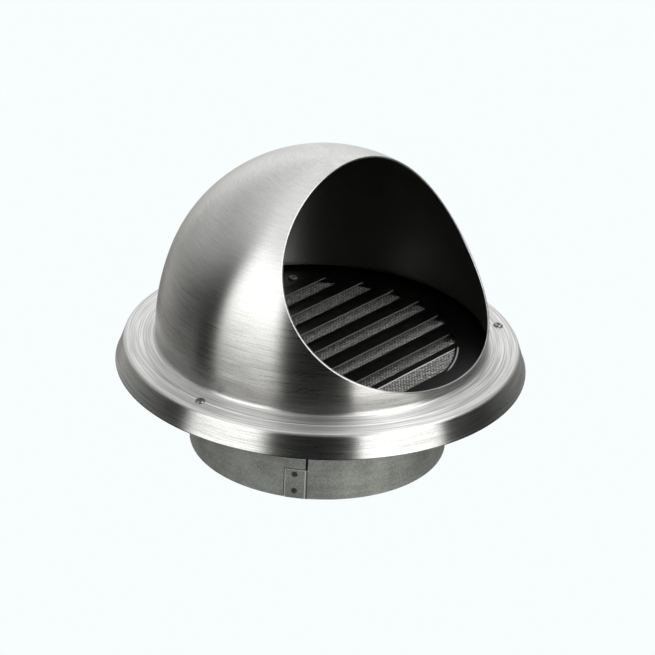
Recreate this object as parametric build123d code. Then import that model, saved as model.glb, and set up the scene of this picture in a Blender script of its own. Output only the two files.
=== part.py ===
from build123d import *
import os
from math import cos, degrees, radians, sin, sqrt, tan

# Hooded round wall vent, standing on the end of its duct collar.
# Z is the duct axis, z = 0 is the collar's free end and the mouth faces -Y.

# Collar: a rolled strip that pushes into a round duct
collar_radius = 49.0
collar_sheet = 0.6
collar_reach = 32.85
collar_flange_width = 8.4
collar_bend = 1.0
seam_angle = -148.25
seam_gap = 0.8
tab_width = 7.65
tab_height = 12.0
tab_root = 0.6
tab_proud = 0.2
lap_gap = 0.3

# Hood: a spun sheet with a dome, a short wall, a sloping flange and a skirt
hood_sheet = 0.7
hood_overhang = 13.85
dome_rise = 70.2
dome_join_angle = 18.5
wall_height = 3.75
flange_width = 14.75
flange_slope = 6.5
skirt_height = 8.5
skirt_taper = 2.4
lip_height = 1.4
lip_flare = 0.6
shoulder_round = 1.8
foot_round = 1.8
lip_round = 0.5

# Mouth: a round-backed cut across the front of the dome
mouth_radius = 94.7
mouth_setback = 7.5
sill_height = 3.55

# Louvre plate: a pressed disc that seats under the hood's flange
plate_sheet = 0.6
plate_inset = 7.0
louvre_field_margin = 2.5
louvre_count = 6
louvre_pitch = 13.0
louvre_first_root = 39.3
louvre_reach = 8.8
louvre_rise = 3.0
louvre_slot = 2.7
louvre_end_slope = 0.8
end_slot_start = -40.0
end_slot_width = 8.5
louvre_turn = -3.5

# Insect mesh: a wire disc clamped between the plate and the collar's flange
mesh_thickness = 0.5
mesh_margin = 1.0
mesh_pitch = 8.8
mesh_wire = 1.6
mesh_cells = 11

# Rivets
hood_rivet_offset = 6.45
hood_rivet_angles = (178.0, -39.5, 69.0)
plate_rivet_offset = 4.6
plate_rivet_angles = (49.5, 229.5)
rivet_head_radius = 1.85
rivet_head_height = 0.6
rivet_head_bevel = 0.35
rivet_shank_radius = 1.2
rivet_eye_radius = 0.7
rivet_eye_depth = 0.4
rivet_tail_radius = 1.7
rivet_tail_height = 1.0
seam_rivet_radius = 1.1
seam_rivet_heights = (3.1, 10.0)
seam_rivet_inset = 4.0

# Clearances
seat_clearance = 0.03
hole_clearance = 0.05
cut_margin = 5.0

# Ways to set a round piece: standing on its lower face, or hanging from its upper one
on_base = (Align.CENTER, Align.CENTER, Align.MIN)
hung = (Align.CENTER, Align.CENTER, Align.MAX)

# Radii worked out from the collar outwards
hood_radius = collar_radius + hood_overhang
flange_radius = hood_radius + flange_width
plate_radius = flange_radius - plate_inset
louvre_field_radius = collar_radius + louvre_field_margin
hood_rivet_circle = hood_radius + hood_rivet_offset
plate_rivet_circle = collar_radius + plate_rivet_offset

# Heights worked out from the bottom of the skirt upwards
shoulder_radius = flange_radius - lip_flare - skirt_taper
shoulder_z = collar_reach + skirt_height
slope = radians(flange_slope)
foot_z = shoulder_z + (shoulder_radius - hood_radius) * tan(slope)
wall_top_z = foot_z + wall_height

# The dome's section is two tangent arcs, a side arc and a crown arc centred on the axis
join = radians(dome_join_angle)
radius_step = (dome_rise - hood_radius) / (cos(join) + sin(join) - 1)
side_arc_radius = hood_radius + radius_step * cos(join)
crown_arc_radius = dome_rise - radius_step * sin(join)
crown_centre_z = wall_top_z + dome_rise - crown_arc_radius


def flange_z(radius):
    """Height of the flange's upper face at a radius."""
    return shoulder_z + (shoulder_radius - radius) * tan(slope)


plate_top = flange_z(plate_radius) - hood_sheet / cos(slope) - seat_clearance
plate_under = plate_top - plate_sheet
mesh_top = plate_under - seat_clearance
mesh_under = mesh_top - mesh_thickness
collar_top = mesh_under - seat_clearance
collar_flange_radius = collar_radius + collar_flange_width
tab_face = collar_radius + tab_proud
tab_under = tab_face - collar_sheet
lap_face = tab_under - seat_clearance
lap_under = lap_face - collar_sheet


def inset_corners(points, inset):
    """Corners of a sheet's outline moved to its inner side by inset."""
    corners = [Vector(point) for point in points]
    runs = [(b - a).normalized() for a, b in zip(corners, corners[1:])]
    sides = [Vector(-run.Y, run.X) for run in runs]
    moved = [corners[0] + sides[0] * inset]
    for corner, before, after in zip(corners[1:], sides, sides[1:]):
        moved.append(corner + (before + after) * (inset / (1 + before.dot(after))))
    moved.append(corners[-1] + sides[-1] * inset)
    return moved


def hood_curve(inset):
    """Half section of the hood, from the skirt's lip up to the crown."""
    outline = [
        (flange_radius, collar_reach),
        (flange_radius - lip_flare, collar_reach + lip_height),
        (shoulder_radius, shoulder_z),
        (hood_radius, foot_z),
        (hood_radius, wall_top_z),
    ]
    rounds = [lip_round + inset, shoulder_round - inset, foot_round + inset]
    lower = FilletPolyline(inset_corners(outline, inset), radius=rounds)
    side_centre = (hood_radius - side_arc_radius, wall_top_z)
    side = CenterArc(side_centre, side_arc_radius - inset, 0, dome_join_angle)
    crown = CenterArc((0, crown_centre_z), crown_arc_radius - inset, dome_join_angle, 90 - dome_join_angle)
    return [*lower.edges(), side, crown]


def polar_rivet_places(circle, angles):
    """Upright places on a circle, with X pointing away from the duct axis."""
    return [Rot(Z=angle) * Pos(X=circle) for angle in angles]


def hood_rivet_places():
    """Places on the flange's upper face, square to its slope."""
    on_flange = Pos(Z=flange_z(hood_rivet_circle)) * Rot(Y=flange_slope)
    return [place * on_flange for place in polar_rivet_places(hood_rivet_circle, hood_rivet_angles)]


def drill(radius):
    """Cylinder on Z that drills a rivet hole."""
    return Cylinder(radius + hole_clearance, 2 * cut_margin)


def rivet(grip):
    """Blind rivet with its head above z = 0 and its tail below the grip."""
    head = Cylinder(rivet_head_radius, rivet_head_height, align=on_base)
    head = chamfer(head.edges().group_by(Axis.Z)[-1], rivet_head_bevel)
    eye = Pos(Z=rivet_head_height) * Cylinder(rivet_eye_radius, 2 * rivet_eye_depth)
    shank = Cylinder(rivet_shank_radius, grip + seat_clearance, align=hung)
    tail = Cylinder(rivet_tail_radius, rivet_tail_height, align=hung)
    return Pos(Z=seat_clearance) * (head - eye + shank) + Pos(Z=-grip) * tail


def hood():
    """Spun sheet with its round-backed mouth cut and its rivet holes."""
    outside = hood_curve(0)
    inside = hood_curve(hood_sheet)
    lip_edge = Line(inside[0] @ 0, outside[0] @ 0)
    crown_edge = Line(outside[-1] @ 1, inside[-1] @ 1)
    section = make_face([*outside, crown_edge, *inside, lip_edge])
    shell = revolve(Plane.YZ * section, Axis.Z)
    for place in hood_rivet_places():
        shell -= place * drill(rivet_shank_radius)

    rim_top_z = crown_centre_z + sqrt(crown_arc_radius**2 - mouth_setback**2)
    rim_top = Vector(mouth_setback, rim_top_z)
    rim_sill = Vector(hood_radius, foot_z + sill_height)
    chord = rim_sill - rim_top
    outward = Vector(-chord.Y, chord.X).normalized()
    centre_offset = sqrt(mouth_radius**2 - (chord.length / 2) ** 2)
    centre = (rim_top + rim_sill) * 0.5 + outward * centre_offset
    cutter = Cylinder(mouth_radius, 2 * flange_radius + cut_margin, rotation=(0, 90, 0))
    return shell - Pos(0, -centre.X, centre.Y) * cutter


def louvre_prism(points):
    """Section in Y and Z carried across the plate along X."""
    section = make_face(Polyline(points, close=True).edges())
    return extrude(Plane.YZ * section, louvre_field_radius, both=True)


def louvre_bowl(inset):
    """Round field whose wall leans inwards above the plate, so louvre ends close on a slope."""
    radius = louvre_field_radius - inset
    top = louvre_rise + cut_margin
    points = [
        (0, plate_under - cut_margin),
        (radius, plate_under - cut_margin),
        (radius, plate_top - inset),
        (radius - louvre_end_slope * top, plate_top - inset + top),
        (0, plate_top - inset + top),
    ]
    return revolve(Plane.XZ * make_face(Polyline(points, close=True).edges()), Axis.Z)


def louvre_plate():
    """Disc with raised louvres that open towards the mouth and one plain end slot."""
    lip_z = plate_top + louvre_rise
    sheet_drop = plate_sheet * sqrt(1 + (louvre_rise / louvre_reach) ** 2)
    bottom = plate_under - cut_margin / 2
    end_slot_far = end_slot_start - end_slot_width
    raised = []
    end_slot = [
        (end_slot_start, bottom),
        (end_slot_start, lip_z),
        (end_slot_far, lip_z),
        (end_slot_far, bottom),
    ]
    openings = [louvre_prism(end_slot)]
    for index in range(louvre_count):
        root = louvre_first_root - index * louvre_pitch
        lip = root - louvre_reach
        edge = lip - louvre_slot
        blade = [(root, plate_top), (lip, lip_z), (lip, plate_under), (root, plate_under)]
        opening = [
            (root, bottom),
            (root, plate_top - sheet_drop),
            (lip, lip_z - sheet_drop),
            (lip, lip_z + cut_margin),
            (edge, lip_z + cut_margin),
            (edge, bottom),
        ]
        raised.append(louvre_prism(blade))
        openings.append(louvre_prism(opening))
    field = louvre_bowl(0)
    hollow = louvre_bowl(plate_sheet)
    plate = Pos(Z=plate_under) * Cylinder(plate_radius, plate_sheet, align=on_base)
    for blade in raised:
        plate += blade & field
    for opening in openings:
        plate -= opening & hollow
    plate = Rot(Z=louvre_turn) * plate
    for place in hood_rivet_places():
        plate -= place * drill(rivet_shank_radius)
    for place in polar_rivet_places(plate_rivet_circle, plate_rivet_angles):
        plate -= place * Pos(Z=plate_top) * drill(rivet_shank_radius)
    return plate


def insect_mesh():
    """Wire disc: a clamped rim round a square grid of gaps."""
    bore = collar_radius - collar_sheet
    gap = mesh_pitch - mesh_wire
    grid = GridLocations(mesh_pitch, mesh_pitch, mesh_cells, mesh_cells)
    cells = Sketch() + [place * Rectangle(gap, gap) for place in grid]
    face = Circle(collar_flange_radius - mesh_margin) - (cells & Circle(bore - mesh_wire / 2))
    disc = Pos(Z=mesh_under) * extrude(face, mesh_thickness)
    for place in polar_rivet_places(plate_rivet_circle, plate_rivet_angles):
        disc -= place * Pos(Z=mesh_top) * drill(rivet_shank_radius)
    return disc


def collar_angle(width):
    """Angle in degrees that a width takes up on the collar's outer face."""
    return degrees(width / collar_radius)


def ring_sector(inner, outer, low, high, start, sweep):
    """Piece of a ring about Z, from a start angle through a sweep in degrees."""
    section = Pos((inner + outer) / 2, (low + high) / 2) * Rectangle(outer - inner, high - low)
    return Rot(Z=start) * revolve(Plane.XZ * section, Axis.Z, sweep)


def collar():
    """Rolled strip with a turned-out top flange. One end has a tab that laps over the other, which
    is stepped inwards there, and above the tab the seam stays open."""
    bore = collar_radius - collar_sheet
    points = [
        (bore, 0),
        (collar_radius, 0),
        (collar_radius, collar_top - collar_sheet),
        (collar_flange_radius, collar_top - collar_sheet),
        (collar_flange_radius, collar_top),
        (bore, collar_top),
    ]
    rounds = [0, 0, collar_bend, 0, 0, collar_bend + collar_sheet]
    section = make_face(FilletPolyline(points, radius=rounds, close=True).edges())
    ring = revolve(Plane.XZ * section, Axis.Z)

    gap_angle = collar_angle(seam_gap)
    tab_angle = collar_angle(tab_width)
    root_angle = collar_angle(tab_root)
    lap_angle = tab_angle + collar_angle(lap_gap)
    lap_start = seam_angle - lap_angle
    lap_top = tab_height + lap_gap
    wide = collar_flange_radius + cut_margin
    above = collar_top + cut_margin
    step_sweep = lap_angle + root_angle
    tab_sweep = tab_angle + gap_angle + root_angle
    ring += ring_sector(lap_under, collar_radius, 0, lap_top + tab_root, lap_start - root_angle, step_sweep)
    ring -= ring_sector(lap_face, wide, -cut_margin, lap_top, lap_start, lap_angle)
    ring -= ring_sector(bore - cut_margin, wide, -cut_margin, above, seam_angle, gap_angle)
    ring += ring_sector(tab_under, tab_face, 0, tab_height, seam_angle - tab_angle, tab_sweep)
    for place in seam_rivet_places():
        ring -= place * drill(seam_rivet_radius)
    for place in polar_rivet_places(plate_rivet_circle, plate_rivet_angles):
        ring -= place * Pos(Z=collar_top) * drill(rivet_shank_radius)
    return ring


def seam_rivet_places():
    """Places on the tab's outer face, with Z pointing away from the duct axis."""
    angle = seam_angle - collar_angle(seam_rivet_inset)
    return [Rot(Z=angle) * Pos(tab_face, 0, height) * Rot(Y=90) for height in seam_rivet_heights]


def seam_rivets():
    """Two rivets, flush with the tab's outer face, that hold it to the strip's other end."""
    skin = Cylinder(tab_face, collar_top, align=on_base)
    grip = 2 * collar_sheet + 3 * seat_clearance
    rivets = []
    for place in seam_rivet_places():
        shank = Cylinder(seam_rivet_radius, 2 * grip)
        eye = Cylinder(rivet_eye_radius, 2 * rivet_eye_depth)
        tail = Pos(Z=-grip) * Cylinder(rivet_tail_radius, rivet_tail_height, align=hung)
        rivets.append((place * (shank + tail) & skin) - place * eye)
    return Compound(children=rivets)


def hood_rivets():
    """Rivets through the hood's flange and the rim of the louvre plate."""
    tilt_drop = rivet_tail_radius * tan(slope)
    grip = (flange_z(hood_rivet_circle) - plate_under) / cos(slope) + tilt_drop + seat_clearance
    return Compound(children=[place * rivet(grip) for place in hood_rivet_places()])


def plate_rivets():
    """Rivets through the louvre plate, the mesh and the collar's flange."""
    grip = plate_top - (collar_top - collar_sheet) + seat_clearance
    places = polar_rivet_places(plate_rivet_circle, plate_rivet_angles)
    return Compound(children=[place * Pos(Z=plate_top) * rivet(grip) for place in places])


os.makedirs("parts", exist_ok=True)
pieces = {
    "hood": hood(),
    "louvre_plate": louvre_plate(),
    "insect_mesh": insect_mesh(),
    "collar": collar(),
    "hood_rivets": hood_rivets(),
    "plate_rivets": plate_rivets(),
    "seam_rivets": seam_rivets(),
}
for name, piece in pieces.items():
    export_step(piece, f"parts/{name}.step")
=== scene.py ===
import bpy
import numpy as np
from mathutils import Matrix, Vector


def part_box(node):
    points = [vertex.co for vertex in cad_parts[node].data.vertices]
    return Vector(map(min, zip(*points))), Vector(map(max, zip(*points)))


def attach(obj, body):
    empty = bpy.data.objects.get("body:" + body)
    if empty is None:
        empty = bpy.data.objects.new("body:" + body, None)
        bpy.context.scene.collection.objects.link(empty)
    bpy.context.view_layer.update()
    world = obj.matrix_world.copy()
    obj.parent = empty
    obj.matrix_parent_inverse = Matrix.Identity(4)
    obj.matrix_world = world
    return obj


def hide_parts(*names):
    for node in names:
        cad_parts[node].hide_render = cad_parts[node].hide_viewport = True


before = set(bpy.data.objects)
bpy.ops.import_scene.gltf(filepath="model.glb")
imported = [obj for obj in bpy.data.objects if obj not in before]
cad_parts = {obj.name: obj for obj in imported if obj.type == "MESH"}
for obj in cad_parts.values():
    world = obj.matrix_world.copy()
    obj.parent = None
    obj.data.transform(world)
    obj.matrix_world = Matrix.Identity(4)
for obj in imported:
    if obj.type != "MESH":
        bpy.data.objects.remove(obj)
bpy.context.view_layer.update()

# Collar: a strip of dull galvanised sheet rolled into a short pipe that pushes into the duct.
# A tab on one end laps over the other at the seam, where two small rivets hold it.
# The tab's sheared edges and its root carry painted highlights, and a line of painted shade runs beside
# the root.
MM = 0.001
TONE_SPREAD = (0.36, 0.64)


class Finish:
    """One value in a material's nodes. Arithmetic on it adds Math nodes."""

    def __init__(self, tree, socket):
        self.tree = tree
        self.socket = socket

    def node(self, kind, output, settings=None, inputs=None):
        """Adds a node, makes its settings, then fills its inputs, and gives back one output."""
        made = self.tree.nodes.new(kind)
        for name, value in (settings or {}).items():
            setattr(made, name, value)
        for name, value in (inputs or {}).items():
            if isinstance(value, Finish):
                self.tree.links.new(value.socket, made.inputs[name])
            else:
                made.inputs[name].default_value = value
        return Finish(self.tree, made.outputs[output])

    def maths(self, operation, *values):
        """A Math node on this value and up to two more."""
        inputs = dict(enumerate((self, *values)))
        return self.node("ShaderNodeMath", 0, {"operation": operation}, inputs)

    def __add__(self, other):
        return self.maths("ADD", other)

    def __sub__(self, other):
        return self.maths("SUBTRACT", other)

    def __mul__(self, other):
        return self.maths("MULTIPLY", other)

    def __truediv__(self, other):
        return self.maths("DIVIDE", other)

    def __rsub__(self, other):
        return (self * -1) + other

    __radd__ = __add__
    __rmul__ = __mul__

    def axis(self, name):
        """One coordinate of a vector."""
        return self.node("ShaderNodeSeparateXYZ", name, inputs={"Vector": self})

    def step(self, low, high):
        """Smooth rise from 0 at low to 1 at high."""
        limits = {"Value": self, "From Min": low, "From Max": high}
        return self.node("ShaderNodeMapRange", "Result", {"interpolation_type": "SMOOTHSTEP"}, limits)

    def vector(self, x, y, z):
        """A vector from three values."""
        return self.node("ShaderNodeCombineXYZ", "Vector", inputs={"X": x, "Y": y, "Z": z})

    def noise(self, scale, detail=2.0):
        """Cloudy noise from 0 to 1 over this place."""
        inputs = {"Vector": self, "Scale": scale, "Detail": detail}
        return self.node("ShaderNodeTexNoise", "Fac", inputs=inputs)

    def blend(self, dark, light):
        """Colour from dark at 0 to light at 1."""
        settings = {"data_type": "RGBA"}
        inputs = {"Factor": self, 6: dark, 7: light}
        return self.node("ShaderNodeMix", 2, settings, inputs)


def start_finish(name):
    """A new material with empty nodes, and the place on the piece in metres."""
    material = bpy.data.materials.new(name)
    material.use_nodes = True
    material.node_tree.nodes.clear()
    place = Finish(material.node_tree, None).node("ShaderNodeTexCoord", "Object")
    return material, place


def end_finish(material, shader):
    """Joins the shader to the material's output."""
    output = material.node_tree.nodes.new("ShaderNodeOutputMaterial")
    material.node_tree.links.new(shader.socket, output.inputs["Surface"])


def dress(piece, material):
    """Gives a piece one material."""
    piece.data.materials.clear()
    piece.data.materials.append(material)


SEAM_TURN = np.radians(-148.25)
TAB_WIDTH = 7.65 * MM
TAB_HEIGHT = 12.0 * MM
TAB_FACE = 49.2 * MM
PAINTED_LINE_WIDTH = 0.35 * MM
galvanised, place = start_finish("dull_galvanised")
ring = (place.axis("X") * place.axis("X") + place.axis("Y") * place.axis("Y")).maths("SQRT")
around = place.vector(place.axis("X") / ring, place.axis("Y") / ring, 0.0)
streak = around.node(
    "ShaderNodeVectorMath",
    "Vector",
    {"operation": "ADD"},
    {0: around, 1: place.vector(0.0, 0.0, place.axis("Z") * 160.0)},
).noise(3.0, 4.0)
cloud = place.noise(110.0, 4.0)
speck = place.noise(1300.0, 2.0)
tone = streak * 0.25 + cloud * 0.35 + speck * 0.4
x, y, z = place.axis("X"), place.axis("Y"), place.axis("Z")
collar_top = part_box("collar")[1][2]
# The top few millimetres of the collar, under the plate and mesh, are darkened as painted shade.
top_shade = z.step(collar_top - 3.5 * MM, collar_top - 2.5 * MM)
across = y * np.cos(SEAM_TURN) - x * np.sin(SEAM_TURN)
proud = ring.step(TAB_FACE - 0.12 * MM, TAB_FACE - 0.04 * MM)
on_tab = proud * (1 - z.step(TAB_HEIGHT, TAB_HEIGHT + PAINTED_LINE_WIDTH))
# Light lines along the tab's left and top edges and along its root are painted highlights.
left_edge_highlight = 1 - (across + TAB_WIDTH).step(0.5 * PAINTED_LINE_WIDTH, PAINTED_LINE_WIDTH)
top_edge_highlight = z.step(TAB_HEIGHT - PAINTED_LINE_WIDTH, TAB_HEIGHT - 0.5 * PAINTED_LINE_WIDTH)
root_highlight = 1 - across.maths("ABSOLUTE").step(0.4 * PAINTED_LINE_WIDTH, PAINTED_LINE_WIDTH)
tab_highlight = on_tab * left_edge_highlight.maths("MAXIMUM", top_edge_highlight).maths("MAXIMUM", root_highlight)
# The dark line just beside the tab's root is painted shade.
root_shade = on_tab * (1 - (across - 1.7 * PAINTED_LINE_WIDTH).maths("ABSOLUTE").step(0.3 * PAINTED_LINE_WIDTH, PAINTED_LINE_WIDTH))
bare_sheet = tone.step(*TONE_SPREAD).blend((0.28, 0.291, 0.271, 1), (0.46, 0.474, 0.446, 1))
bare_sheet = tab_highlight.blend(bare_sheet, (0.72, 0.735, 0.7, 1))
bare_sheet = root_shade.blend(bare_sheet, (0.1, 0.103, 0.098, 1))
shader = place.node(
    "ShaderNodeBsdfPrincipled",
    "BSDF",
    inputs={
        "Base Color": top_shade.blend(bare_sheet, (0.11, 0.11, 0.108, 1)),
        "Metallic": 0.55,
        "Roughness": 0.5 + tone * 0.2,
    },
)
end_finish(galvanised, shader)
dress(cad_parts["collar"], galvanised)

# Insect mesh: a disc cut from plain woven steel wire.
# The louvre plate clamps its edge against the collar's turned-out top.
WEAVE_PITCH = 1.05 * MM
WIRE_RADIUS = 0.115 * MM
WIRE_SIDES = 3
WEAVE_TURN = np.radians(38.0)
mesh_low, mesh_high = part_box("insect_mesh")
mesh_radius = mesh_high[0]
mesh_middle = (mesh_low[2] + mesh_high[2]) / 2


def woven_wires(crossways):
    """Tubes of three sides along rows of crossings. The middle of each tube goes a wire's radius
    up and down in turn, and the other direction goes the opposite way at the same crossing."""
    count = int(mesh_radius / WEAVE_PITCH)
    steps = np.arange(-count, count + 1)
    row, along = np.meshgrid(steps, steps, indexing="ij")
    side = np.where(crossways, -1.0, 1.0)
    height = mesh_middle + side * WIRE_RADIUS * np.where((row + along) % 2 == 0, 1.0, -1.0)
    turn = np.arange(WIRE_SIDES) * 2 * np.pi / WIRE_SIDES + np.pi / 2
    shape = row.shape + (WIRE_SIDES,)
    length = np.broadcast_to((along * WEAVE_PITCH)[..., None], shape)
    width = (row * WEAVE_PITCH)[..., None] + WIRE_RADIUS * np.cos(turn)
    up = height[..., None] + WIRE_RADIUS * np.sin(turn)
    points = np.stack([width, length, up] if crossways else [length, width, up], axis=-1)
    inside = (np.hypot(row, along) * WEAVE_PITCH) < mesh_radius - WIRE_RADIUS
    kept = inside[:, :-1] & inside[:, 1:]
    index = np.arange(points.size // 3).reshape(shape)
    following = np.roll(index, -1, axis=2)
    faces = np.stack([index[:, :-1], index[:, 1:], following[:, 1:], following[:, :-1]], axis=-1)
    if not crossways:
        faces = faces[..., ::-1]
    cos, sin = np.cos(WEAVE_TURN), np.sin(WEAVE_TURN)
    turned = np.array([[cos, sin, 0], [-sin, cos, 0], [0, 0, 1]])
    return points.reshape(-1, 3) @ turned, faces[kept].reshape(-1, 4)


def mesh_piece(name, points, faces):
    """A smooth mesh object at the origin from an array of points and an array of four-cornered
    faces. Points that no face uses are dropped."""
    used, corners = np.unique(faces, return_inverse=True)
    points = np.asarray(points, dtype=np.float32)[used]
    count = len(faces)
    mesh = bpy.data.meshes.new(name)
    mesh.vertices.add(len(points))
    mesh.vertices.foreach_set("co", points.ravel())
    mesh.loops.add(count * 4)
    mesh.loops.foreach_set("vertex_index", corners.ravel().astype(np.int32))
    mesh.polygons.add(count)
    mesh.polygons.foreach_set("loop_start", np.arange(count, dtype=np.int32) * 4)
    mesh.polygons.foreach_set("use_smooth", np.ones(count, dtype=bool))
    mesh.update(calc_edges=True)
    piece = bpy.data.objects.new(name, mesh)
    bpy.context.collection.objects.link(piece)
    return piece


length_points, length_faces = woven_wires(False)
cross_points, cross_faces = woven_wires(True)
woven = mesh_piece(
    "woven_insect_mesh",
    np.concatenate([length_points, cross_points]),
    np.concatenate([length_faces, cross_faces + len(length_points)]),
)
wire, place = start_finish("woven_wire")
wire_tone = place.noise(900.0).step(0.35, 0.65)
shader = place.node(
    "ShaderNodeBsdfPrincipled",
    "BSDF",
    inputs={
        "Base Color": wire_tone.blend((0.6, 0.6, 0.57, 1), (1.0, 1.0, 0.96, 1)),
        "Metallic": 0.6,
        "Roughness": 0.5,
    },
)
end_finish(wire, shader)
dress(woven, wire)
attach(woven, "root")
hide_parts("insect_mesh")

# Louvre plate: one pressed disc of dark sheet with louvres that open towards the mouth.
# Its rim seats under the hood's flange, and the pressed lips show a bright cut edge.
plate_low, plate_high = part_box("louvre_plate")
lip_z = plate_high[2]
FIELD_RADIUS = 51.5 * MM
LOUVRE_TURN = np.radians(-3.5)
END_SLOT_START = -40.0 * MM
SLOT_END_GLINT = 0.55
dark, place = start_finish("dark_pressed_sheet")
x, y, z = place.axis("X"), place.axis("Y"), place.axis("Z")
facing = place.node("ShaderNodeNewGeometry", "True Normal").axis("Y").step(-0.8, -0.95)
ring = (x * x + y * y).maths("SQRT")
within_field = 1 - ring.step(FIELD_RADIUS - 4 * MM, FIELD_RADIUS - 3 * MM)
cut_edge = facing * within_field * z.step(lip_z - 0.65 * MM, lip_z - 0.4 * MM)
along_louvres = y * np.cos(LOUVRE_TURN) - x * np.sin(LOUVRE_TURN)
from_slot = (along_louvres - END_SLOT_START).maths("ABSOLUTE")
# A white line on the end slot's cut face and a lighter arc on the top face at the slot's end are
# painted highlights.
slot_line_highlight = facing * (1 - from_slot.step(0.2 * MM, 0.5 * MM))
from_end = (ring - FIELD_RADIUS).maths("ABSOLUTE")
in_slot = along_louvres.step(END_SLOT_START, END_SLOT_START - 0.5 * MM) * x.step(10 * MM, 14 * MM)
slot_end_highlight = in_slot * (1 - from_end.step(0.2 * MM, 0.4 * MM))
slot_edge_highlight = slot_line_highlight.maths("MAXIMUM", slot_end_highlight * SLOT_END_GLINT)
grain = place.noise(700.0, 3.0)
pressed_sheet = grain.blend((0.03, 0.03, 0.03, 1), (0.055, 0.055, 0.053, 1))
pressed_sheet = cut_edge.blend(pressed_sheet, (0.3, 0.3, 0.29, 1))
shader = place.node(
    "ShaderNodeBsdfPrincipled",
    "BSDF",
    inputs={
        "Base Color": slot_edge_highlight.blend(pressed_sheet, (1.0, 1.0, 0.98, 1)),
        "Metallic": (1 - cut_edge * 0.7) * (1 - slot_edge_highlight),
        "Roughness": 0.3 + grain * 0.12,
    },
)
end_finish(dark, shader)
dress(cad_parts["louvre_plate"], dark)

# Hood: one stainless sheet spun to a dome, a short wall, a sloping flange and a skirt.
# It is brushed round its axis while it spins, and the round-backed mouth is cut afterwards.
HOOD_SHEET = 0.7 * MM
HOOD_RADIUS = 62.85 * MM
DOME_RISE = 70.2 * MM
DOME_JOIN = np.radians(18.5)
WALL_HEIGHT = 3.75 * MM
FLANGE_RADIUS = 77.6 * MM
FLANGE_SLOPE = np.radians(6.5)
SKIRT_BOTTOM = 32.85 * MM
SKIRT_HEIGHT = 8.5 * MM
SKIRT_TAPER = 2.4 * MM
LIP_HEIGHT = 1.4 * MM
LIP_FLARE = 0.6 * MM
SHOULDER_ROUND = 1.8 * MM
FOOT_ROUND = 1.8 * MM
LIP_ROUND = 0.5 * MM
BEAD_RADIUS = 68.7 * MM
BEAD_WIDTH = 1.2 * MM
BEAD_RISE = 0.15 * MM
BEAD_ROUND = 0.7 * MM
MOUTH_RADIUS = 94.7 * MM
MOUTH_SETBACK = 7.5 * MM
SILL_HEIGHT = 3.55 * MM
MOUTH_TILT = np.radians(53.0)
RIM_BREAK = 0.15 * MM
COLUMNS = 320
OUTER_ROWS = 84
INNER_ROWS = 48
ROUND_STEPS = 12
SHARP_TURN = np.radians(14)

shoulder_radius = FLANGE_RADIUS - LIP_FLARE - SKIRT_TAPER
shoulder_z = SKIRT_BOTTOM + SKIRT_HEIGHT
foot_z = shoulder_z + (shoulder_radius - HOOD_RADIUS) * np.tan(FLANGE_SLOPE)
wall_top = foot_z + WALL_HEIGHT
radius_step = (DOME_RISE - HOOD_RADIUS) / (np.cos(DOME_JOIN) + np.sin(DOME_JOIN) - 1)
side_arc = HOOD_RADIUS + radius_step * np.cos(DOME_JOIN)
crown_arc = DOME_RISE - radius_step * np.sin(DOME_JOIN)
side_shift = side_arc - HOOD_RADIUS
crown_shift = DOME_RISE - crown_arc

rim_height = wall_top + crown_shift + np.sqrt(crown_arc**2 - MOUTH_SETBACK**2)
rim_top = np.array([MOUTH_SETBACK, rim_height])
rim_sill = np.array([HOOD_RADIUS, foot_z + SILL_HEIGHT])
chord = rim_sill - rim_top
outward = np.array([-chord[1], chord[0]]) / np.hypot(*chord)
mouth_axis = (rim_top + rim_sill) / 2 + outward * np.sqrt(MOUTH_RADIUS**2 - (chord @ chord) / 4)


def dome_reach(polar, inset):
    """Distance from the dome's middle to its sheet at an angle from the crown: the crown's arc, then
    the side's arc, then the upright wall, each moved inwards by inset."""
    cos, sin = np.cos(polar), np.sin(polar)
    crown = crown_shift * cos + np.sqrt((crown_arc - inset) ** 2 - (crown_shift * sin) ** 2)
    side = np.sqrt((side_arc - inset) ** 2 - (side_shift * cos) ** 2) - side_shift * sin
    wall = (HOOD_RADIUS - inset) / np.sin(np.maximum(polar, 0.1))
    reach = (side_arc - inset) * np.array([np.cos(DOME_JOIN), np.sin(DOME_JOIN)])
    join_polar = np.arctan2(reach[0] - side_shift, reach[1])
    return np.where(polar < join_polar, crown, np.where(polar < np.pi / 2, side, wall))


def dome_points(away, turn, inset):
    """Points on the dome's sheet, at an angle away from the middle of the mouth and a turn about it:
    a direction from the dome's middle, carried out to the sheet."""
    x = np.sin(away) * np.sin(turn)
    up = np.sin(away) * np.cos(turn)
    y = -np.cos(away) * np.sin(MOUTH_TILT) + up * np.cos(MOUTH_TILT)
    z = np.cos(away) * np.cos(MOUTH_TILT) + up * np.sin(MOUTH_TILT)
    direction = np.stack([x, y, z], axis=-1)
    polar = np.arccos(np.clip(z, -1, 1))
    return direction * dome_reach(polar, inset)[..., None] + [0, 0, wall_top]


def where_crossed(past, turn, inset):
    """The angle away from the mouth's middle where past turns from false to true, by halving."""
    low = np.zeros_like(turn)
    high = np.full_like(turn, np.pi)
    for _ in range(40):
        middle = (low + high) / 2
        beyond = past(dome_points(middle, turn, inset))
        low, high = np.where(beyond, low, middle), np.where(beyond, middle, high)
    return high


def rim_away(turn, inset, trim):
    """The angle away from the mouth's middle where the cutting cylinder, wider by trim, ends."""

    def past(points):
        forward = -points[..., 1] - mouth_axis[0]
        return np.hypot(forward, points[..., 2] - mouth_axis[1]) > MOUTH_RADIUS + trim

    return where_crossed(past, turn, inset)


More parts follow.
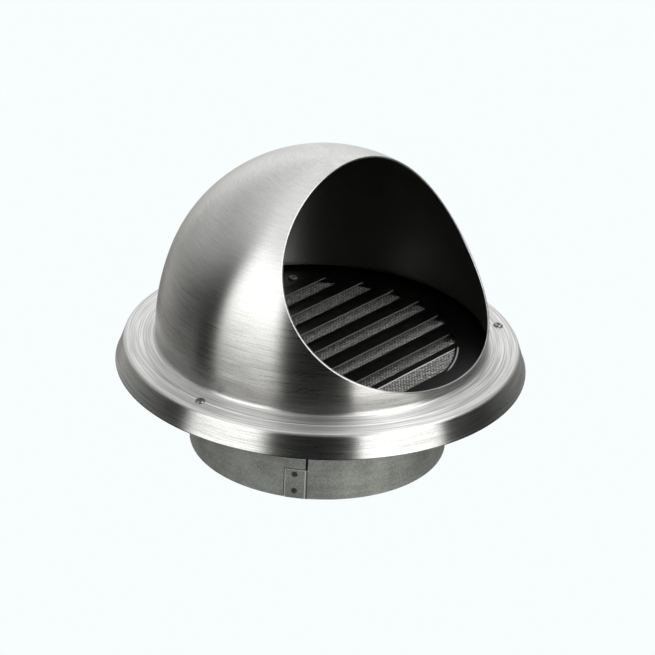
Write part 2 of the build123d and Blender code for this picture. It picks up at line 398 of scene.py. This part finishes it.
def rounded_line(corners, rounds, steps):
    """A line through corners with arcs in them. Each arc leaves its corner's arms at the same length,
    the round times the tangent of half the turn, and is swept between the two normals."""
    points = []
    for before, corner, after, round_radius in zip(corners, corners[1:], corners[2:], rounds):
        back = (before - corner) / np.hypot(*(before - corner))
        ahead = (after - corner) / np.hypot(*(after - corner))
        half = np.arccos(np.clip(back @ ahead, -1, 1)) / 2
        middle = (back + ahead) / np.hypot(*(back + ahead))
        centre = corner + middle * round_radius / np.sin(half)
        start = corner + back * round_radius / np.tan(half) - centre
        end = corner + ahead * round_radius / np.tan(half) - centre
        bend = np.pi - 2 * half
        sweep = np.linspace(0, 1, steps)[:, None]
        arc = np.sin((1 - sweep) * bend) * start + np.sin(sweep * bend) * end
        points.append(centre + arc / np.sin(bend))
    return np.concatenate(points + [corners[-1:]])


def skirt_line(inset):
    """Section below the wall, from the round at its foot to the bottom of the lip, moved in by
    inset. The outer face has a low bead part of the way down the flange."""
    bead_radii = BEAD_RADIUS + np.array([-0.5, -0.17, 0.17, 0.5]) * BEAD_WIDTH
    bead_heights = shoulder_z + (shoulder_radius - bead_radii) * np.tan(FLANGE_SLOPE)
    bead_heights[1:3] += BEAD_RISE
    bead = [] if inset else list(zip(bead_radii, bead_heights))
    corners = np.array(
        [
            (HOOD_RADIUS, wall_top),
            (HOOD_RADIUS, foot_z),
            *bead,
            (shoulder_radius, shoulder_z),
            (FLANGE_RADIUS - LIP_FLARE, SKIRT_BOTTOM + LIP_HEIGHT),
            (FLANGE_RADIUS, SKIRT_BOTTOM),
        ]
    )
    runs = np.diff(corners, axis=0)
    runs = runs / np.hypot(runs[:, 0], runs[:, 1])[:, None]
    sides = np.stack([runs[:, 1], -runs[:, 0]], axis=1)
    moved = corners.copy()
    moved[0] += sides[0] * inset
    moved[-1] += sides[-1] * inset
    spread = 1 + np.sum(sides[:-1] * sides[1:], axis=1)
    moved[1:-1] += (sides[:-1] + sides[1:]) * (inset / spread)[:, None]
    bead_rounds = [BEAD_ROUND] * len(bead)
    rounds = [FOOT_ROUND + inset, *bead_rounds, SHOULDER_ROUND - inset, LIP_ROUND + inset]
    return rounded_line(moved, rounds, ROUND_STEPS)


def hood_sheet_rows(inset, rows, trim):
    """Closed rows of points from the mouth's rim to the skirt's lip: on the dome each row is a share
    of the way from the rim to the wall's foot, and below that it goes round the axis."""
    turn = np.arange(COLUMNS) * 2 * np.pi / COLUMNS
    line = skirt_line(inset)
    foot_height = line[0, 1]
    rim = rim_away(turn, inset, trim)
    foot = where_crossed(lambda points: points[..., 2] < foot_height, turn, inset)
    share = np.linspace(0, 1, rows)[:, None]
    dome = dome_points(rim + (foot - rim) * share, np.broadcast_to(turn, (rows, COLUMNS)), inset)
    angle = np.arctan2(dome[-1, :, 1], dome[-1, :, 0])
    skirt = np.stack(
        [
            line[1:, :1] * np.cos(angle),
            line[1:, :1] * np.sin(angle),
            np.broadcast_to(line[1:, 1:], (len(line) - 1, COLUMNS)),
        ],
        axis=-1,
    )
    return np.concatenate([dome, skirt])


outer = hood_sheet_rows(0.0, OUTER_ROWS, RIM_BREAK)
inner = hood_sheet_rows(HOOD_SHEET, INNER_ROWS, RIM_BREAK)
turn = np.arange(COLUMNS) * 2 * np.pi / COLUMNS
rim_edge = np.stack(
    [
        dome_points(rim_away(turn, HOOD_SHEET * share, trim), turn, HOOD_SHEET * share)
        for share, trim in ((0.85, RIM_BREAK * 0.25), (0.5, 0.0), (0.15, RIM_BREAK * 0.25))
    ]
)
loop = np.concatenate([outer, inner[::-1], rim_edge])
rows = len(loop)
index = np.arange(rows * COLUMNS).reshape(rows, COLUMNS)
below = np.roll(index, -1, axis=0)
faces = np.stack([index, below, np.roll(below, -1, axis=1), np.roll(index, -1, axis=1)], axis=-1)
hood = mesh_piece("spun_hood", loop.reshape(-1, 3), faces.reshape(-1, 4))
hood.data.set_sharp_from_angle(angle=SHARP_TURN)
inside = np.zeros((rows, COLUMNS), dtype=np.float32)
inside[len(outer) : len(outer) + len(inner)] = 1.0
hood.data.attributes.new("inside", "FLOAT", "POINT").data.foreach_set("value", inside.ravel())

brushed, place = start_finish("brushed_stainless")
x, y, z = place.axis("X"), place.axis("Y"), place.axis("Z")
ring = (x * x + y * y).maths("SQRT").maths("MAXIMUM", 0.5 * MM)
along = z - ring
fine = place.vector(x / ring * 5.0, y / ring * 5.0, along * 2400.0).noise(1.0, 2.0)
broad = place.vector(x / ring * 2.0, y / ring * 2.0, along * 700.0).noise(1.0, 3.0)
grain = place.noise(1700.0, 1.0)
ring_mark = place.vector(x / ring * 2.5, y / ring * 2.5, along * 2000.0).noise(1.0, 3.0)
cloud = place.noise(38.0, 3.0)
within = place.node("ShaderNodeAttribute", "Fac", {"attribute_name": "inside"})
over_skirt = z.step(shoulder_z - 0.9 * MM, shoulder_z - 0.3 * MM)
on_flange = (1 - z.step(foot_z + 0.3 * MM, foot_z + 1.5 * MM)) * over_skirt
under_dome = 1 - z.step(foot_z + 4.5 * MM, foot_z + 10 * MM)
# A band round the wall's foot, where it meets the flange, is darkened as painted shade.
foot_shade = z.step(foot_z + 0.8 * MM, foot_z + 2.2 * MM) * under_dome
tone = fine * 0.5 + grain * 0.2 + broad * 0.15 + cloud * 0.15
calm = 0.6 * z.step(58 * MM, 84 * MM)
tone = tone + (0.5 - tone) * calm
brushed_colour = tone.step(*TONE_SPREAD).blend((0.475, 0.473, 0.46, 1), (0.74, 0.737, 0.72, 1))
foot_shade_colour = tone.step(*TONE_SPREAD).blend((0.3, 0.297, 0.288, 1), (0.46, 0.457, 0.446, 1))
flange_colour = ring_mark.step(*TONE_SPREAD).blend((0.5, 0.498, 0.486, 1), (0.79, 0.787, 0.77, 1))
outside_colour = on_flange.blend(foot_shade.blend(brushed_colour, foot_shade_colour), flange_colour)
# The lowest fraction of a millimetre of the skirt's lip is darkened as painted shade.
lip_shade = 1 - z.step(SKIRT_BOTTOM + 0.15 * MM, SKIRT_BOTTOM + 0.35 * MM)
outside_colour = lip_shade.blend(outside_colour, (0.1, 0.1, 0.097, 1))
# The inside of the sheet takes a darker base colour than the outside, as painted shade in the hollow.
shader = place.node(
    "ShaderNodeBsdfPrincipled",
    "BSDF",
    inputs={
        "Base Color": within.blend(outside_colour, (0.34, 0.336, 0.318, 1)),
        "Metallic": 1 - within * 0.05,
        "Roughness": 0.25 + broad * 0.02 + fine * 0.04 + on_flange * 0.11 + within * 0.06,
        "Anisotropic": 0.9,
        "Anisotropic Rotation": 0.25,
        "Normal": fine.node(
            "ShaderNodeBump", "Normal", inputs={"Height": fine, "Strength": 0.1, "Distance": 0.05 * MM}
        ),
    },
)
end_finish(brushed, shader)
dress(hood, brushed)
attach(hood, "root")
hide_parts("hood")

# Rivets: plain steel blind rivets, drawn up from one side, with a round head and a hollow eye.
# They go through the hood's flange, the louvre plate's rim and the lap at the collar's seam.
rivet_steel, place = start_finish("rivet_steel")
shader = place.node(
    "ShaderNodeBsdfPrincipled",
    "BSDF",
    inputs={
        "Base Color": place.noise(1500.0).blend((0.2, 0.2, 0.195, 1), (0.34, 0.335, 0.325, 1)),
        "Metallic": 1.0,
        "Roughness": 0.3,
    },
)
end_finish(rivet_steel, shader)
for name in ("hood_rivets", "plate_rivets", "seam_rivets"):
    dress(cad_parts[name], rivet_steel)

# Floor: a plain pale sheet, not part of the vent, that fills the frame.
# It glows evenly, so no shadow falls on it, and the steel doesn't mirror it.
PALE = (0.939, 0.982, 0.991, 1)
FLOOR_SIZE = 20.0
floor_corners = np.array([(-1, -1, 0), (1, -1, 0), (1, 1, 0), (-1, 1, 0)]) * FLOOR_SIZE / 2
floor = mesh_piece("pale_floor", floor_corners, np.array([[0, 1, 2, 3]]))
pale, place = start_finish("pale_floor")
shader = place.node("ShaderNodeEmission", "Emission", inputs={"Color": PALE, "Strength": 1.0})
end_finish(pale, shader)
dress(floor, pale)
floor.visible_glossy = False
floor.visible_diffuse = False

# Shade: a round black card, not part of the vent, that lies on the floor inside the collar.
# It stops the pale floor from shining up through the mesh.
CARD_RADIUS = 48.7 * MM
CARD_HEIGHT = 0.05 * MM
CARD_SIDES = 64
card_turn = np.arange(CARD_SIDES) * 2 * np.pi / CARD_SIDES
card_ring = np.stack([np.cos(card_turn), np.sin(card_turn), np.zeros(CARD_SIDES)], axis=1) * CARD_RADIUS
card_mesh = bpy.data.meshes.new("black_card")
card_mesh.from_pydata((card_ring + [0, 0, CARD_HEIGHT]).tolist(), [], [list(range(CARD_SIDES))])
card = bpy.data.objects.new("black_card", card_mesh)
bpy.context.collection.objects.link(card)
black, place = start_finish("black_card")
shader = place.node("ShaderNodeBsdfDiffuse", "BSDF", inputs={"Color": (0.01, 0.01, 0.01, 1)})
end_finish(black, shader)
dress(card, black)

# Studio: soft panels all round, painted on the world, which the brushed steel mirrors as bands.
# Turns are degrees to the right of the camera, rises are degrees above the floor.
CAMERA_TURN = np.radians(-143.96)
world = bpy.data.worlds.new("studio")
bpy.context.scene.world = world
world.use_nodes = True
world.node_tree.nodes.clear()
ray = Finish(world.node_tree, None).node("ShaderNodeTexCoord", "Generated")
x, y, z = ray.axis("X"), ray.axis("Y"), ray.axis("Z")
ahead = x * np.cos(CAMERA_TURN) + y * np.sin(CAMERA_TURN)
aside = y * np.cos(CAMERA_TURN) - x * np.sin(CAMERA_TURN)
turn = aside.maths("ARCTAN2", ahead) * (180 / np.pi)
rise = z.maths("ARCSINE") * (180 / np.pi)


def panel(left, right, low, high, soft):
    """1 inside a range of turns and rises, falling to 0 over a soft edge."""
    across = turn.step(left - soft, left + soft) * (1 - turn.step(right - soft, right + soft))
    return across * rise.step(low - soft, low + soft) * (1 - rise.step(high - soft, high + soft))


behind = turn.maths("ABSOLUTE")
overhead = rise.step(25, 72)
in_front = 1 - behind.step(15, 50)
backdrop = (0.55 + 0.8 * behind.step(110, 200)) * (behind + rise * 0.8).step(92, 128)
dimmed = 0.3 * panel(-145, -88, -8, 9, 6)
dimmed = dimmed + 0.5 * panel(75, 150, -10, 32, 8) + 0.4 * panel(60, 150, 10, 34, 6)
backdrop = backdrop * (1 - dimmed)
backdrop = backdrop * (1 + 0.18 * aside * rise.step(15, 40))
ceiling = 1.2 * overhead * (1 - 0.92 * in_front)
table_glow = 0.45 * (1 - rise.step(-75, -52))
left_window = (
    2.1 * panel(-72, -29, -2, 46, 5)
    + 0.26 * panel(-72, -26.5, -48, -2, 5)
    + 0.4 * panel(-72, -26.5, -48, -22, 3)
    + 0.2 * panel(-74, -69, -48, -4, 2)
)
right_window = (
    2.0 * panel(23, 70, -6, 45, 1.5)
    + 0.9 * panel(23, 69.5, -48, -6, 1.5)
    + 0.9 * panel(23, 69.5, -48, -22, 1.5)
)
high_window = 2.6 * panel(45, 112, 45, 68, 5)
left_bounce = 0.26 * panel(-150, -92, -24, -13, 5) + 0.4 * panel(-150, -60, -62, -40, 5)
light = 0.004 + ceiling + backdrop * rise.step(-34, 15) * (1 - overhead) + table_glow
light = light + left_window + right_window + high_window + left_bounce
seen = ray.node("ShaderNodeLightPath", "Is Camera Ray")
cast = rise.step(-30, 30).blend((1.0, 0.985, 0.945, 1), (0.98, 0.99, 1.0, 1))
tint = seen.blend(cast, PALE)
strength = light * (1 - seen) + seen
surroundings = ray.node(
    "ShaderNodeBackground", "Background", inputs={"Color": tint, "Strength": strength}
)
output = world.node_tree.nodes.new("ShaderNodeOutputWorld")
world.node_tree.links.new(surroundings.socket, output.inputs["Surface"])

# Camera: at the height and turn of the photograph, with a long lens, not part of the vent.
# It is aimed at a point on the vent's axis, then shifted sideways and down and rolled a little.
CAMERA_RISE = np.radians(26.87)
CAMERA_DISTANCE = 1123.9 * MM
CAMERA_ROLL = np.radians(2.62)
AIM = np.array([0, 0, 60.0]) * MM
AIM_RIGHT = 2.0 * MM
AIM_UP = -12.07 * MM
LENS = 164.9
SENSOR_WIDTH = 36.0
camera = bpy.data.objects.new("camera", bpy.data.cameras.new("camera"))
bpy.context.collection.objects.link(camera)
camera.data.lens = LENS
camera.data.sensor_width = SENSOR_WIDTH
back = np.array(
    [
        np.cos(CAMERA_TURN) * np.cos(CAMERA_RISE),
        np.sin(CAMERA_TURN) * np.cos(CAMERA_RISE),
        np.sin(CAMERA_RISE),
    ]
)
right = np.array([-np.sin(CAMERA_TURN), np.cos(CAMERA_TURN), 0])
up = np.cross(back, right)
matrix = np.eye(4)
matrix[:3, 0] = right * np.cos(CAMERA_ROLL) + up * np.sin(CAMERA_ROLL)
matrix[:3, 1] = up * np.cos(CAMERA_ROLL) - right * np.sin(CAMERA_ROLL)
matrix[:3, 2] = back
matrix[:3, 3] = AIM + back * CAMERA_DISTANCE + right * AIM_RIGHT + up * AIM_UP
camera.matrix_world = matrix.T.tolist()
bpy.context.scene.camera = camera
bpy.context.scene.view_settings.view_transform = "Standard"
